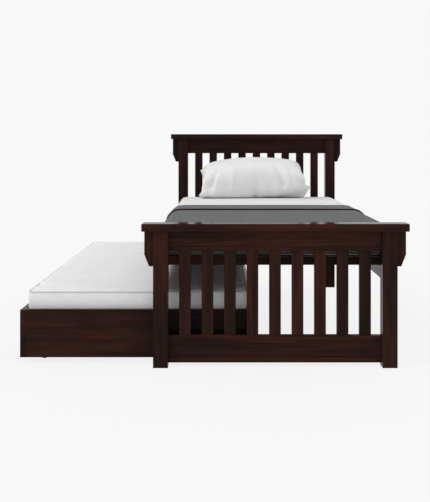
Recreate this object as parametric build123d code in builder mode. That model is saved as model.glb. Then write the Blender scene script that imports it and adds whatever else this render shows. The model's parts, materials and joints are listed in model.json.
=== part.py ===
from build123d import *
from math import cos, radians, sin
import os

os.makedirs("parts", exist_ok=True)

# Trundle bed in millimetres: X runs across the bed, Y from the footboard to the headboard, Z up.
# The origin is on the floor, at the middle of the footprint with the trundle pulled out to the left.

# Posts and boards
clear_width = 914.0  # between the left and right posts
clear_length = 1950.0  # between the foot posts and the head posts
post_size = 63.5
post_ease = 2.0  # chamfer along the edges of a post
footboard_height = 614.0  # floor to the top of the cap
headboard_height = 1020.0
cap_thickness = 33.0
cap_side_overhang = 49.0  # past the outer face of a post
cap_face_overhang = 12.0  # past the front and back of a post
cap_ease = 2.5
corbel_height = 150.0
corbel_straight = 100.0  # height of the upright stretch above the taper
corbel_reach = 38.0
corbel_toe = 18.0  # reach at the bottom of the taper
corbel_thickness = 38.0
rail_thickness = 25.0
foot_top_rail = 85.0  # heights of the four board rails
head_top_rail = 94.0
foot_bottom_rail = 116.0
head_bottom_rail = 100.0
foot_bottom_rail_low = 19.0
head_bottom_rail_low = 430.0
slat_strip = 20.0  # strip of a rail beside the slats, marked off by a groove
floor_strip = 24.0  # strip along the lower edge of a bottom rail
groove_width = 3.0
groove_depth = 3.0
slat_count = 9
slat_width = 50.0
slat_thickness = 19.0
slat_ease = 1.5

# Joinery
joint_gap = 0.2  # room round a tenon or dowel
joint_end_gap = 1.0  # room past the end of a tenon or dowel
cap_tenon = 40.0  # square tenon on top of a post
cap_tenon_length = 20.0
rail_tenon_thickness = 13.0
rail_tenon_length = 30.0
rail_tenon_shoulder = 10.0  # above and below a rail's tenon
slat_tenon_length = 10.0
slat_tenon_shoulder = 4.0  # all round a slat's tenon

# Side rails and the deck of the bed
side_rail_thickness = 25.4
side_rail_height = 152.0
side_rail_low = 343.0
cross_rail_thickness = 25.0
cross_rail_height = 35.0
deck_height = 465.0  # floor to the top of the deck slats
ledger_size = 30.0
deck_slat_count = 13
deck_slat_width = 70.0
deck_slat_thickness = 18.0
deck_end_gap = 3.0  # between a deck slat's end and the rail or panel beside it

# Brackets that hold the side rails to the posts
bracket_thickness = 3.0
bracket_height = 56.0
bracket_lift = 9.0  # above the lower edge of the side rail
bracket_rail_leg = 50.0
bracket_post_leg = 32.0
bolt_radius = 3.0
bolt_length = 22.0
bolt_head_radius = 5.5
bolt_head_height = 4.0
bolt_edge = 12.0  # from a leg's edge to the bolt's middle
screw_radius = 2.2
screw_head_radius = 4.4
screw_length = 38.0
fastener_gap = 0.1

# Trundle
trundle_pull = 584.5  # how far its front panel stands out past the posts
trundle_width = 1016.0
trundle_length = 1917.0
panel_thickness = 25.4
panel_height = 207.0
panel_low = 26.0
panel_ease = 2.0
trundle_deck_height = 158.0
dowel_radius = 5.0
dowel_length = 36.0
dowel_in_panel = 15.0  # the part of a dowel that lies in a long panel
dowel_edge = 50.0  # from the panel's upper or lower edge to the dowel's middle

# Casters
wheel_radius = 20.0
wheel_width = 18.0
wheel_ease = 2.0
hub_radius = 8.0
rim_thickness = 5.0
web_recess = 4.0
axle_radius = 4.0
axle_gap = 0.08
axle_end = 2.0  # past the outer face of a cheek
cheek_thickness = 3.0
cheek_gap = 1.5  # between a wheel's face and its cheek
cheek_radius = 11.0
caster_height = 52.0
caster_inset_x = 87.0  # from the trundle's long sides to the middle of a wheel
caster_inset_y = 95.0  # from the trundle's ends to the middle of a wheel
plate_length = 62.0
plate_width = 56.0
plate_thickness = 3.0
plate_edge = 9.0  # from the plate's edge to a screw's middle
caster_beam_width = 70.0

# Soft pieces
mattress_height = 141.0
mattress_side_gap = 5.1  # to the side rails
mattress_end_gap = 22.5  # to the foot and head posts
mattress_corner = 60.0
mattress_edge = 22.0
mattress_crown = 6.0
crown_inset = 200.0  # from the mattress's sides to where the crown levels off
trundle_mattress_height = 150.0
trundle_mattress_side_gap = 2.6  # to the trundle's long panels
trundle_mattress_end_gap = 5.6  # to its foot and head panels
soft_gap = 0.3
blanket_thickness = 6.0
blanket_hem = 5.0  # between the hem and the side rail below it
blanket_end_y = 55.0  # the folded edge nearest the headboard
blanket_fold = 325.0  # width of the folded-back band
pillow_width = 710.0
pillow_depth = 335.0  # along its slope, at the middle
pillow_corner_pull = 10.0  # how much longer it is beside its corners
pillow_end_depth = 300.0
pillow_end_thickness = 12.0  # above and below the seam at each end
pillow_shoulder = 105.0  # from an end to where the filling is nearly full
pillow_above = 130.0  # filling above the seam plane, at the middle
pillow_below = 85.0
pillow_fall = 0.76  # filling at the shoulders as a part of the filling at the middle
pillow_tilt = 40.0
pillow_offset_x = -18.0
pillow_back_gap = 8.0  # to the face of the headboard's slats

# Places that follow from the sizes above
bed_width = clear_width + 2 * post_size
bed_half_length = clear_length / 2
board_y = bed_half_length + post_size / 2
cap_width = bed_width + 2 * cap_side_overhang
cap_depth = post_size + 2 * cap_face_overhang
inner_width = bed_width - 2 * side_rail_thickness
bed_x = (bed_width / 2 + trundle_pull - cap_width / 2) / 2
trundle_left = bed_x - bed_width / 2 - trundle_pull
trundle_x = trundle_left + trundle_width / 2
mattress_width = inner_width - 2 * mattress_side_gap
mattress_length = clear_length - 2 * mattress_end_gap
trundle_mattress_width = trundle_width - 2 * (panel_thickness + trundle_mattress_side_gap)
trundle_mattress_length = trundle_length - 2 * (panel_thickness + trundle_mattress_end_gap)
side_rail_top = side_rail_low + side_rail_height
bracket_low = side_rail_low + bracket_lift
bolt_heights = [bracket_low + bolt_edge, bracket_low + bracket_height - bolt_edge]
bolt_in_wood = bolt_length - bracket_thickness
sides = {"left": -1, "right": 1}

# One row per board: its middle in Y, the way to the mattress, and the heights of its rails
boards = {
    "footboard": (-board_y, 1, footboard_height, foot_top_rail, foot_bottom_rail_low, foot_bottom_rail),
    "headboard": (board_y, -1, headboard_height, head_top_rail, head_bottom_rail_low, head_bottom_rail),
}


def save(piece, name):
    piece.part.label = name
    export_step(piece.part, f"parts/{name}.step")


def spread(count, width, span):
    """Middles of equal strips with equal gaps between them and at both ends of the span."""
    gap = (span - count * width) / (count + 1)
    return [-span / 2 + gap + width / 2 + i * (gap + width) for i in range(count)]


def screw_places(xs, ys, height):
    return [(x, y, height) for x in xs for y in ys]


slat_xs = [bed_x + x for x in spread(slat_count, slat_width, clear_width)]


def board_post(side, y, inward, post_top, rails):
    """A post with a tenon for the cap, mortises for the rails and holes for the bracket's bolts."""
    x = bed_x + side * (clear_width + post_size) / 2
    bolt_x = bed_x + side * (inner_width / 2 - bracket_post_leg + bolt_edge)
    mortise = rail_tenon_length + joint_end_gap
    with BuildPart() as post:
        with BuildSketch():
            with Locations((x, y)):
                Rectangle(post_size, post_size)
        extrude(amount=post_top)
        chamfer(post.edges().filter_by(Axis.Z), post_ease)
        with BuildSketch(Plane.XY.offset(post_top)):
            with Locations((x, y)):
                Rectangle(cap_tenon, cap_tenon)
        extrude(amount=cap_tenon_length)
        for low, height in rails:
            with Locations((x - side * (post_size - mortise) / 2, y, low + height / 2)):
                Box(
                    mortise,
                    rail_tenon_thickness + 2 * joint_gap,
                    height - 2 * rail_tenon_shoulder + 2 * joint_gap,
                    mode=Mode.SUBTRACT,
                )
        for z in bolt_heights:
            with Locations(Location((bolt_x, y + inward * post_size / 2, z), (-90 * inward, 0, 0))):
                Hole(bolt_radius + fastener_gap, depth=bolt_in_wood + joint_end_gap)
    return post


def board_rail(y, low, height, grooves, slat_edge, slat_side):
    """A rail with a tenon at each end, joint lines on both faces and mortises along its slat edge."""
    mortise = slat_tenon_length + joint_end_gap
    with BuildPart() as rail:
        with Locations((bed_x, y, low + height / 2)):
            Box(clear_width, rail_thickness, height)
            Box(
                clear_width + 2 * rail_tenon_length,
                rail_tenon_thickness,
                height - 2 * rail_tenon_shoulder,
            )
        for z in grooves:
            with Locations((bed_x, y - rail_thickness / 2, z), (bed_x, y + rail_thickness / 2, z)):
                Box(clear_width, 2 * groove_depth, groove_width, mode=Mode.SUBTRACT)
        for x in slat_xs:
            with Locations((x, y, slat_edge + slat_side * mortise / 2)):
                Box(
                    slat_width - 2 * slat_tenon_shoulder + 2 * joint_gap,
                    slat_thickness - 2 * slat_tenon_shoulder + 2 * joint_gap,
                    mortise,
                    mode=Mode.SUBTRACT,
                )
    return rail


def board_slat(x, y, low, high):
    """A flat slat with a stub tenon at each end."""
    with BuildPart() as slat:
        with Locations((x, y, (low + high) / 2)):
            Box(slat_width, slat_thickness, high - low)
            chamfer(slat.edges().filter_by(Axis.Z), slat_ease)
            Box(
                slat_width - 2 * slat_tenon_shoulder,
                slat_thickness - 2 * slat_tenon_shoulder,
                high - low + 2 * slat_tenon_length,
            )
    return slat


def board_cap(y, low):
    """The overhanging cap, with a mortise over each post."""
    mortise = cap_tenon_length + joint_end_gap
    with BuildPart() as cap:
        with Locations((bed_x, y, low + cap_thickness / 2)):
            Box(cap_width, cap_depth, cap_thickness)
        chamfer(cap.edges(), cap_ease)
        for side in sides.values():
            with Locations((bed_x + side * (clear_width + post_size) / 2, y, low + mortise / 2)):
                Box(cap_tenon + 2 * joint_gap, cap_tenon + 2 * joint_gap, mortise, mode=Mode.SUBTRACT)
    return cap


def board_corbel(side, y, high):
    """A bracket under the end of the cap: upright at the top, tapered towards its toe."""
    face = bed_x + side * bed_width / 2
    with BuildPart() as corbel:
        with BuildSketch(Plane.XZ.offset(-y)):
            with BuildLine():
                Polyline(
                    (face, high),
                    (face + side * corbel_reach, high),
                    (face + side * corbel_reach, high - corbel_straight),
                    (face + side * corbel_toe, high - corbel_height),
                    (face, high - corbel_height),
                    close=True,
                )
            make_face()
        extrude(amount=corbel_thickness / 2, both=True)
    return corbel


# Footboard and headboard
for board, (y, inward, height, top_rail, bottom_low, bottom_rail) in boards.items():
    cap_low = height - cap_thickness
    top_low = cap_low - top_rail
    bottom_top = bottom_low + bottom_rail
    rails = [(top_low, top_rail), (bottom_low, bottom_rail)]
    for side, sign in sides.items():
        save(board_post(sign, y, inward, cap_low, rails), f"{board}_post_{side}")
        save(board_corbel(sign, y, cap_low), f"{board}_corbel_{side}")
    save(board_cap(y, cap_low), f"{board}_cap")
    top_grooves = [top_low + slat_strip]
    bottom_grooves = [bottom_low + floor_strip, bottom_top - slat_strip]
    save(board_rail(y, top_low, top_rail, top_grooves, top_low, 1), f"{board}_top_rail")
    save(board_rail(y, bottom_low, bottom_rail, bottom_grooves, bottom_top, -1), f"{board}_bottom_rail")
    for number, x in enumerate(slat_xs, start=1):
        save(board_slat(x, y, bottom_top, top_low), f"{board}_slat_{number}")

# Side rails, each with blind holes for its brackets' bolts
bolt_ys = [sign * (bed_half_length - bracket_rail_leg + bolt_edge) for sign in (-1, 1)]
for side, sign in sides.items():
    with BuildPart() as side_rail:
        with Locations((bed_x + sign * (inner_width + side_rail_thickness) / 2, 0, side_rail_low)):
            Box(
                side_rail_thickness,
                clear_length,
                side_rail_height,
                align=(Align.CENTER, Align.CENTER, Align.MIN),
            )
        for y in bolt_ys:
            for z in bolt_heights:
                with Locations(Location((bed_x + sign * inner_width / 2, y, z), (0, -90 * sign, 0))):
                    Hole(bolt_radius + fastener_gap, depth=bolt_in_wood + joint_end_gap)
    save(side_rail, f"side_rail_{side}")

# Corner brackets, bent from flat bar, inside the corners between side rails and posts
with BuildPart() as rail_brackets:
    for sign_x in sides.values():
        for sign_y in (-1, 1):
            corner_x = bed_x + sign_x * inner_width / 2
            corner_y = sign_y * bed_half_length
            with BuildSketch(Plane.XY.offset(bracket_low)):
                with BuildLine():
                    Polyline(
                        (corner_x, corner_y),
                        (corner_x - sign_x * bracket_post_leg, corner_y),
                        (corner_x - sign_x * bracket_post_leg, corner_y - sign_y * bracket_thickness),
                        (corner_x - sign_x * bracket_thickness, corner_y - sign_y * bracket_thickness),
                        (corner_x - sign_x * bracket_thickness, corner_y - sign_y * bracket_rail_leg),
                        (corner_x, corner_y - sign_y * bracket_rail_leg),
                        close=True,
                    )
                make_face()
            extrude(amount=bracket_height)
    for sign_x in sides.values():
        for sign_y in (-1, 1):
            post_bolt_x = bed_x + sign_x * (inner_width / 2 - bracket_post_leg + bolt_edge)
            rail_bolt_y = sign_y * (bed_half_length - bracket_rail_leg + bolt_edge)
            for z in bolt_heights:
                with Locations((post_bolt_x, sign_y * (bed_half_length - bracket_thickness / 2), z)):
                    Cylinder(
                        bolt_radius + fastener_gap,
                        2 * bracket_thickness,
                        rotation=(90, 0, 0),
                        mode=Mode.SUBTRACT,
                    )
                with Locations((bed_x + sign_x * (inner_width - bracket_thickness) / 2, rail_bolt_y, z)):
                    Cylinder(
                        bolt_radius + fastener_gap,
                        2 * bracket_thickness,
                        rotation=(0, 90, 0),
                        mode=Mode.SUBTRACT,
                    )
save(rail_brackets, "rail_brackets")


def bolt(place):
    """A hexagon-headed bolt: the head's underside is at the place and the shank runs down from it."""
    with BuildPart(mode=Mode.PRIVATE) as one_bolt:
        with BuildSketch():
            RegularPolygon(bolt_head_radius, 6)
        extrude(amount=bolt_head_height)
        with BuildSketch():
            Circle(bolt_radius)
        extrude(amount=-bolt_length)
    return one_bolt.part.moved(place)


bolt_places = []
for sign_x in sides.values():
    for sign_y in (-1, 1):
        post_bolt_x = bed_x + sign_x * (inner_width / 2 - bracket_post_leg + bolt_edge)
        rail_bolt_y = sign_y * (bed_half_length - bracket_rail_leg + bolt_edge)
        bracket_face_x = bed_x + sign_x * (inner_width / 2 - bracket_thickness)
        bracket_face_y = sign_y * (bed_half_length - bracket_thickness)
        for z in bolt_heights:
            bolt_places.append(Location((post_bolt_x, bracket_face_y, z), (90 * sign_y, 0, 0)))
            bolt_places.append(Location((bracket_face_x, rail_bolt_y, z), (0, -90 * sign_x, 0)))
bolts = [bolt(place) for place in bolt_places]
with BuildPart() as bracket_bolts:
    add(bolts)
save(bracket_bolts, "bracket_bolts")


def slat_deck(x, width, length, height):
    """Deck slats across the bed, countersunk for a screw at each end."""
    ys = spread(deck_slat_count, deck_slat_width, length)
    screw_xs = [x - (width - ledger_size) / 2, x + (width - ledger_size) / 2]
    with BuildPart() as slats:
        with BuildSketch(Plane.XY.offset(height - deck_slat_thickness)):
            with Locations([(x, y) for y in ys]):
                Rectangle(width - 2 * deck_end_gap, deck_slat_width)
        extrude(amount=deck_slat_thickness)
        with Locations(screw_places(screw_xs, ys, height)):
            CounterSinkHole(
                screw_radius + fastener_gap,
                screw_head_radius + fastener_gap,
                depth=2 * deck_slat_thickness,
                counter_sink_angle=90,
            )
    return slats


def deck_ledgers(x, width, length, height):
    """The two ledgers under the ends of the deck slats, with a pilot hole under each screw."""
    ys = spread(deck_slat_count, deck_slat_width, length)
    xs = [x - (width - ledger_size) / 2, x + (width - ledger_size) / 2]
    top = height - deck_slat_thickness
    with BuildPart() as ledgers:
        with BuildSketch(Plane.XY.offset(top - ledger_size)):
            with Locations([(ledger_x, 0) for ledger_x in xs]):
                Rectangle(ledger_size, length)
        extrude(amount=ledger_size)
        with Locations(screw_places(xs, ys, top)):
            Hole(screw_radius + fastener_gap, depth=screw_length - deck_slat_thickness + joint_end_gap)
    return ledgers


def screw_set(places):
    """Countersunk screws: each head is flush with its place and the shank runs down from it."""
    head_height = screw_head_radius - screw_radius
    with BuildPart() as screws:
        with Locations(places):
            Cone(
                screw_radius,
                screw_head_radius,
                head_height,
                align=(Align.CENTER, Align.CENTER, Align.MAX),
            )
            Cylinder(screw_radius, screw_length, align=(Align.CENTER, Align.CENTER, Align.MAX))
    return screws


def deck_screw_places(x, width, length, height):
    xs = [x - (width - ledger_size) / 2, x + (width - ledger_size) / 2]
    ys = spread(deck_slat_count, deck_slat_width, length)
    return [Location(place) for place in screw_places(xs, ys, height)]


# Cross rails and the deck of the bed
deck_length = clear_length - 2 * cross_rail_thickness
for end, sign in {"foot": -1, "head": 1}.items():
    with BuildPart() as cross_rail:
        with Locations((bed_x, sign * (bed_half_length - cross_rail_thickness / 2), deck_height)):
            Box(
                inner_width,
                cross_rail_thickness,
                cross_rail_height,
                align=(Align.CENTER, Align.CENTER, Align.MAX),
            )
    save(cross_rail, f"{end}_cross_rail")
save(slat_deck(bed_x, inner_width, deck_length, deck_height), "deck_slats")
save(deck_ledgers(bed_x, inner_width, deck_length, deck_height), "deck_ledgers")
save(screw_set(deck_screw_places(bed_x, inner_width, deck_length, deck_height)), "deck_screws")

# Trundle box: the long panels run past the ends of the foot and head panels
box_width = trundle_width - 2 * panel_thickness
box_length = trundle_length - 2 * panel_thickness
dowel_heights = [panel_low + dowel_edge, panel_low + panel_height - dowel_edge]
dowel_in_end = dowel_length - dowel_in_panel
dowel_ys = [sign * (box_length + panel_thickness) / 2 for sign in (-1, 1)]
for name, sign in {"front": -1, "back": 1}.items():
    panel_x = trundle_x + sign * (box_width + panel_thickness) / 2
    with BuildPart() as long_panel:
        with Locations((panel_x, 0, panel_low)):
            Box(
                panel_thickness,
                trundle_length,
                panel_height,
                align=(Align.CENTER, Align.CENTER, Align.MIN),
            )
        chamfer(long_panel.edges().filter_by(Axis.Y).group_by(Axis.Z)[-1], panel_ease)
        for y in dowel_ys:
            for z in dowel_heights:
                with Locations(Location((trundle_x + sign * box_width / 2, y, z), (0, -90 * sign, 0))):
                    Hole(dowel_radius + joint_gap, depth=dowel_in_panel + joint_end_gap)
    save(long_panel, f"trundle_{name}_panel")
for name, sign in {"foot": -1, "head": 1}.items():
    with BuildPart() as end_panel:
        with Locations((trundle_x, sign * (box_length + panel_thickness) / 2, panel_low)):
            Box(
                box_width,
                panel_thickness,
                panel_height,
                align=(Align.CENTER, Align.CENTER, Align.MIN),
            )
        chamfer(end_panel.edges().filter_by(Axis.X).group_by(Axis.Z)[-1], panel_ease)
        for side in sides.values():
            for z in dowel_heights:
                y = sign * (box_length + panel_thickness) / 2
                with Locations(Location((trundle_x + side * box_width / 2, y, z), (0, 90 * side, 0))):
                    Hole(dowel_radius + joint_gap, depth=dowel_in_end + joint_end_gap)
    save(end_panel, f"trundle_{name}_panel")

# Dowels that hold the four corners of the box together
with BuildPart() as trundle_dowels:
    for side in sides.values():
        middle = trundle_x + side * (box_width / 2 + dowel_in_panel - dowel_length / 2)
        with Locations([(middle, y, z) for y in dowel_ys for z in dowel_heights]):
            Cylinder(dowel_radius, dowel_length, rotation=(0, 90, 0))
save(trundle_dowels, "trundle_dowels")

# Trundle deck
save(slat_deck(trundle_x, box_width, box_length, trundle_deck_height), "trundle_deck_slats")
save(deck_ledgers(trundle_x, box_width, box_length, trundle_deck_height), "trundle_ledgers")

# Beams under the ledgers that carry the casters
caster_xs = [trundle_x + side * (trundle_width / 2 - caster_inset_x) for side in (-1, 1)]
caster_ys = [side * (trundle_length / 2 - caster_inset_y) for side in (-1, 1)]
caster_places = [(x, y) for y in caster_ys for x in caster_xs]
ledger_low = trundle_deck_height - deck_slat_thickness - ledger_size
screw_offset_x = plate_length / 2 - plate_edge
screw_offset_y = plate_width / 2 - plate_edge
plate_points = [
    (x + sign_x * screw_offset_x, y + sign_y * screw_offset_y)
    for x, y in caster_places
    for sign_x in (-1, 1)
    for sign_y in (-1, 1)
]
plate_low = caster_height - plate_thickness
plate_screw_places = [Location((x, y, plate_low), (180, 0, 0)) for x, y in plate_points]
with BuildPart() as caster_beams:
    with BuildSketch(Plane.XY.offset(caster_height)):
        with Locations([(trundle_x, y) for y in caster_ys]):
            Rectangle(box_width, caster_beam_width)
    extrude(amount=ledger_low - caster_height)
    with Locations([Location((x, y, caster_height), (180, 0, 0)) for x, y in plate_points]):
        Hole(screw_radius + fastener_gap, depth=screw_length - plate_thickness + joint_end_gap)
save(caster_beams, "trundle_caster_beams")

trundle_screw_places = deck_screw_places(trundle_x, box_width, box_length, trundle_deck_height)
save(screw_set(trundle_screw_places + plate_screw_places), "trundle_screws")

# Caster housings: a plate with two cheeks that hold the axle
cheek_inner = wheel_width / 2 + cheek_gap
with BuildPart() as caster_housings:
    with BuildSketch(Plane.XY.offset(plate_low)):
        with Locations(caster_places):
            Rectangle(plate_length, plate_width)
    extrude(amount=plate_thickness)
    with Locations(plate_screw_places):
        CounterSinkHole(
            screw_radius + fastener_gap,
            screw_head_radius + fastener_gap,
            depth=2 * plate_thickness,
            counter_sink_angle=90,
        )
    for x, y in caster_places:
        for side in (-1, 1):
            with BuildSketch(Plane.XZ.offset(-y - side * (cheek_inner + cheek_thickness / 2))):
                with Locations((x, wheel_radius)):
                    Circle(cheek_radius)
                with Locations((x, (wheel_radius + plate_low) / 2)):
                    Rectangle(2 * cheek_radius, plate_low - wheel_radius)
                with Locations((x, wheel_radius)):
                    Circle(axle_radius + fastener_gap, mode=Mode.SUBTRACT)
            extrude(amount=cheek_thickness / 2, both=True)
save(caster_housings, "caster_housings")

axle_length = 2 * (cheek_inner + cheek_thickness + axle_end)
with BuildPart() as caster_axles:
    with Locations([(x, y, wheel_radius) for x, y in caster_places]):
        Cylinder(axle_radius, axle_length, rotation=(90, 0, 0))
save(caster_axles, "caster_axles")

# Caster wheels: a hub and a rim joined by a thinner web
for number, (x, y) in enumerate(caster_places, start=1):
    with BuildPart() as wheel:
        with BuildSketch(Plane.XZ.offset(-y)):
            with Locations((x, wheel_radius)):
                Circle(wheel_radius)
        extrude(amount=wheel_width / 2, both=True)
        chamfer(wheel.edges(), wheel_ease)
        for side in (-1, 1):
            with BuildSketch(Plane.XZ.offset(-y - side * wheel_width / 2)):
                with Locations((x, wheel_radius)):
                    Circle(wheel_radius - rim_thickness)
                    Circle(hub_radius, mode=Mode.SUBTRACT)
            extrude(amount=side * web_recess, mode=Mode.SUBTRACT)
        with Locations((x, y, wheel_radius)):
            Cylinder(axle_radius + axle_gap, wheel_width, rotation=(90, 0, 0), mode=Mode.SUBTRACT)
    save(wheel, f"caster_wheel_{number}")


def soft_slab(x, width, length, low, height, corner, edge, inset):
    """A mattress: rounded in plan, rounded along its edges, with a shallow crown on top."""
    shoulder = height - mattress_crown
    with BuildPart() as slab:
        with BuildSketch(Plane.XY.offset(low)):
            with Locations((x, 0)):
                RectangleRounded(width, length, corner)
        extrude(amount=shoulder)
        fillet(slab.faces().sort_by(Axis.Z)[-1].edges(), edge)
        fillet(slab.faces().sort_by(Axis.Z)[0].edges(), edge)
        with BuildSketch(Plane.XY.offset(low + shoulder)):
            with Locations((x, 0)):
                RectangleRounded(width - 2 * edge, length - 2 * edge, corner - edge)
        with BuildSketch(Plane.XY.offset(low + height)):
            with Locations((x, 0)):
                RectangleRounded(width - 2 * inset, length - 2 * inset, corner - edge)
        loft()
    return slab


def bed_mattress(grown):
    """The bed's mattress, or the same form grown by a margin on every side."""
    return soft_slab(
        bed_x,
        mattress_width + 2 * grown,
        mattress_length + 2 * grown,
        deck_height - grown,
        mattress_height + 2 * grown,
        mattress_corner + grown,
        mattress_edge + grown,
        crown_inset + grown,
    )


# Mattresses
save(bed_mattress(0), "mattress")
trundle_mattress = soft_slab(
    trundle_x,
    trundle_mattress_width,
    trundle_mattress_length,
    trundle_deck_height,
    trundle_mattress_height,
    mattress_corner,
    mattress_edge,
    crown_inset,
)
save(trundle_mattress, "trundle_mattress")

# Blanket: one layer over the mattress's top, sides and foot, and a folded-back band at its end
cover = bed_mattress(soft_gap + blanket_thickness)
fold_cover = bed_mattress(soft_gap + 2 * blanket_thickness)
hollow = bed_mattress(soft_gap)
with BuildPart() as fold_band:
    add(fold_cover.part)
    split(bisect_by=Plane.XZ.offset(blanket_fold - blanket_end_y), keep=Keep.BOTTOM)
with BuildPart() as blanket:
    add(cover.part)
    add(fold_band.part)
    add(hollow.part, mode=Mode.SUBTRACT)
    split(bisect_by=Plane.XZ.offset(-blanket_end_y), keep=Keep.TOP)
    split(bisect_by=Plane.XY.offset(side_rail_top + blanket_hem), keep=Keep.TOP)
save(blanket, "blanket")

# Pillow: leans on the headboard's slats, full in the middle, with its ends and long sides drawn in
slope = radians(pillow_tilt)
below_radius = (pillow_depth**2 / 4 + pillow_below**2) / (2 * pillow_below)
below_middle = below_radius - pillow_below
pillow_z = deck_height + mattress_height + soft_gap + below_radius - below_middle * cos(slope)
slat_face_y = board_y - rail_thickness / 2
pillow_y = slat_face_y - pillow_back_gap - below_radius + below_middle * sin(slope)
pillow_plane = Plane(
    origin=(bed_x + pillow_offset_x, pillow_y, pillow_z),
    x_dir=(1, 0, 0),
    z_dir=(0, -sin(slope), cos(slope)),
)
half_pillow = pillow_width / 2
shoulder_depth = pillow_depth + pillow_corner_pull
end_section = (pillow_end_depth, pillow_end_thickness, pillow_end_thickness)
shoulder_section = (shoulder_depth, pillow_above * pillow_fall, pillow_below * pillow_fall)
pillow_sections = {
    -half_pillow: end_section,
    pillow_shoulder - half_pillow: shoulder_section,
    0: (pillow_depth, pillow_above, pillow_below),
    half_pillow - pillow_shoulder: shoulder_section,
    half_pillow: end_section,
}
with BuildPart() as pillow:
    for station, (depth, above, below) in pillow_sections.items():
        section = Plane(
            origin=pillow_plane.from_local_coords((station, 0, 0)),
            x_dir=pillow_plane.y_dir,
            z_dir=pillow_plane.x_dir,
        )
        with BuildSketch(section):
            with BuildLine():
                upper = ThreePointArc((-depth / 2, 0), (0, above), (depth / 2, 0))
                ThreePointArc(upper @ 1, (0, -below), upper @ 0)
            make_face()
    loft()
save(pillow, "pillow")
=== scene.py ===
import json
import math
import random

import bpy
import numpy as np
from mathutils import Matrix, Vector, noise
from mathutils.bvhtree import BVHTree


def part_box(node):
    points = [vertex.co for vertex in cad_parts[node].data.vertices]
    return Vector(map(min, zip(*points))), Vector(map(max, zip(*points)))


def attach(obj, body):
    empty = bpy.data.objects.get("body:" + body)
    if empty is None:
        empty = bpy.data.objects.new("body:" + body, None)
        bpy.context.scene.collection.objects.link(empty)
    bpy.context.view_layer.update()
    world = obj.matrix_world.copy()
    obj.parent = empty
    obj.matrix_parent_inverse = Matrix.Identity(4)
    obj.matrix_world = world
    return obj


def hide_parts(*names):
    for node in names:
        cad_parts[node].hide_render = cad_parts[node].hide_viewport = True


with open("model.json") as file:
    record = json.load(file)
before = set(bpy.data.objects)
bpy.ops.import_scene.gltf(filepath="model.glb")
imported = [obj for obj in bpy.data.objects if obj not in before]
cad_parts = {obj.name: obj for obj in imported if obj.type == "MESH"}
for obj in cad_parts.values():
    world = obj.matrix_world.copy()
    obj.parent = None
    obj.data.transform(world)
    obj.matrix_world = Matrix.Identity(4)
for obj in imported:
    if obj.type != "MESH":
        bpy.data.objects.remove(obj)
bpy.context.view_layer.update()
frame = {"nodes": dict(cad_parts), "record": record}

# Trundle bed in dark lacquered wood, in metres, in the frame of the solids.

# Camera: level, looking along +Y, with the lens shifted down as the upright posts show
CAMERA_PLACE = (0.0472, -4.5955, 0.9502)
CAMERA_LENS = 60.0
CAMERA_SENSOR = 36.0
CAMERA_SHIFT = (-0.0169, -0.2118)

# Light and stage
BACKGROUND = 0.939  # linear white of the backdrop
SKY_REST = 0.80  # soft light from above, behind and both sides
SKY_FRONT = 0.50  # and from the viewer's side, low down
SKY_TURN = (-0.9, -0.2)  # between these shares of the way along Y the one passes into the other
# Each key lamp: what it gives a white face turned to it, its degrees from the viewer's side and its rise
KEY_LEFT = (0.30, -60.0, 42.0)
KEY_RIGHT = (0.05, 70.0, 22.0)
KEY_SPREAD = 30.0  # angle that a key lamp fills, seen from the object
FLOOR_GLOW = 0.84  # part of the floor's white that no shadow darkens
FLOOR_SHADE = 0.105  # and the part that one does
FLOOR_BOUNCE = 0.92  # how pale the floor is to the light that falls on the object
FLOOR_SIZE = 60.0
FLOOR_NEAR = 2.4  # inside this radius the floor shows shadows, beyond the next it is plain white
FLOOR_FAR = 6.0

# Colours of the solids, linear
WALNUT_DARK = (0.0127, 0.0088, 0.0079)
WALNUT_MID = (0.0252, 0.0124, 0.0102)
WALNUT_LIGHT = (0.0600, 0.0190, 0.0130)
DECK_DARK = (0.030, 0.014, 0.009)
DECK_MID = (0.060, 0.029, 0.018)
DECK_LIGHT = (0.100, 0.052, 0.032)
STEEL_GREY = (0.50, 0.50, 0.51)
WHEEL_BLACK = (0.028, 0.028, 0.028)

# Wood: how far each pattern is drawn out along the grain, then its scale, detail and roughness
WOOD_PATTERNS = {
    "heart": (0.11, 7.0, 1.0, 0.4),
    "streaks": (0.035, 52.0, 4.0, 0.65),
    "fibres": (0.012, 420.0, 2.0, 0.6),
    "mottle": (0.20, 7.0, 2.0, 0.5),
}
PATTERN_PARTS = {"streaks": 0.95, "fibres": 0.35, "mottle": 0.90}  # what each adds to the tone
FIGURE_PART = 0.05
FIGURE_RINGS = 70.0  # how closely the rings of the heart lie
TONE_BASE = -0.60
TONE_STOPS = (0.20, 0.50, 0.86)  # tones of the dark, middle and light colour
LACQUER_ROUGH = 0.16
DECK_ROUGH = 0.55
FIBRE_ROUGH = 0.12  # how much rougher the fibres make it, from end to end
LACQUER_IOR = 1.08
FIBRE_BUMP = (0.10, 0.0006)
EDGE_EASE = 0.0012

# How much lighter than the rest each of these boards is, by the start of its name: partly each board's own
# tone, and partly painted light and shade, the headboard darker and the footboard lighter as the light
# falls off towards the head, the left foot corbel darker and the right one lighter, evening out the lamp
# from the left
TONE_SPREAD = 0.03
BOARD_TONES_AND_SHADE = {
    "headboard": -0.10,
    "headboard_cap": -0.06,
    "headboard_corbel_right": -0.12,
    "headboard_post_left": -0.06,
    "footboard_cap": 0.09,
    "footboard_top_rail": 0.13,
    "footboard_post": 0.03,
    "footboard_post_right": 0.08,
    "footboard_corbel_left": -0.16,
    "footboard_corbel_right": 0.16,
    "footboard_slat_4": -0.02,
    "footboard_slat_6": 0.16,
    "footboard_slat_7": 0.08,
    "footboard_slat_8": 0.03,
    "footboard_slat_9": -0.06,
    "trundle_foot_panel": -0.06,
    "trundle_front_panel": 0.05,
}
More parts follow.
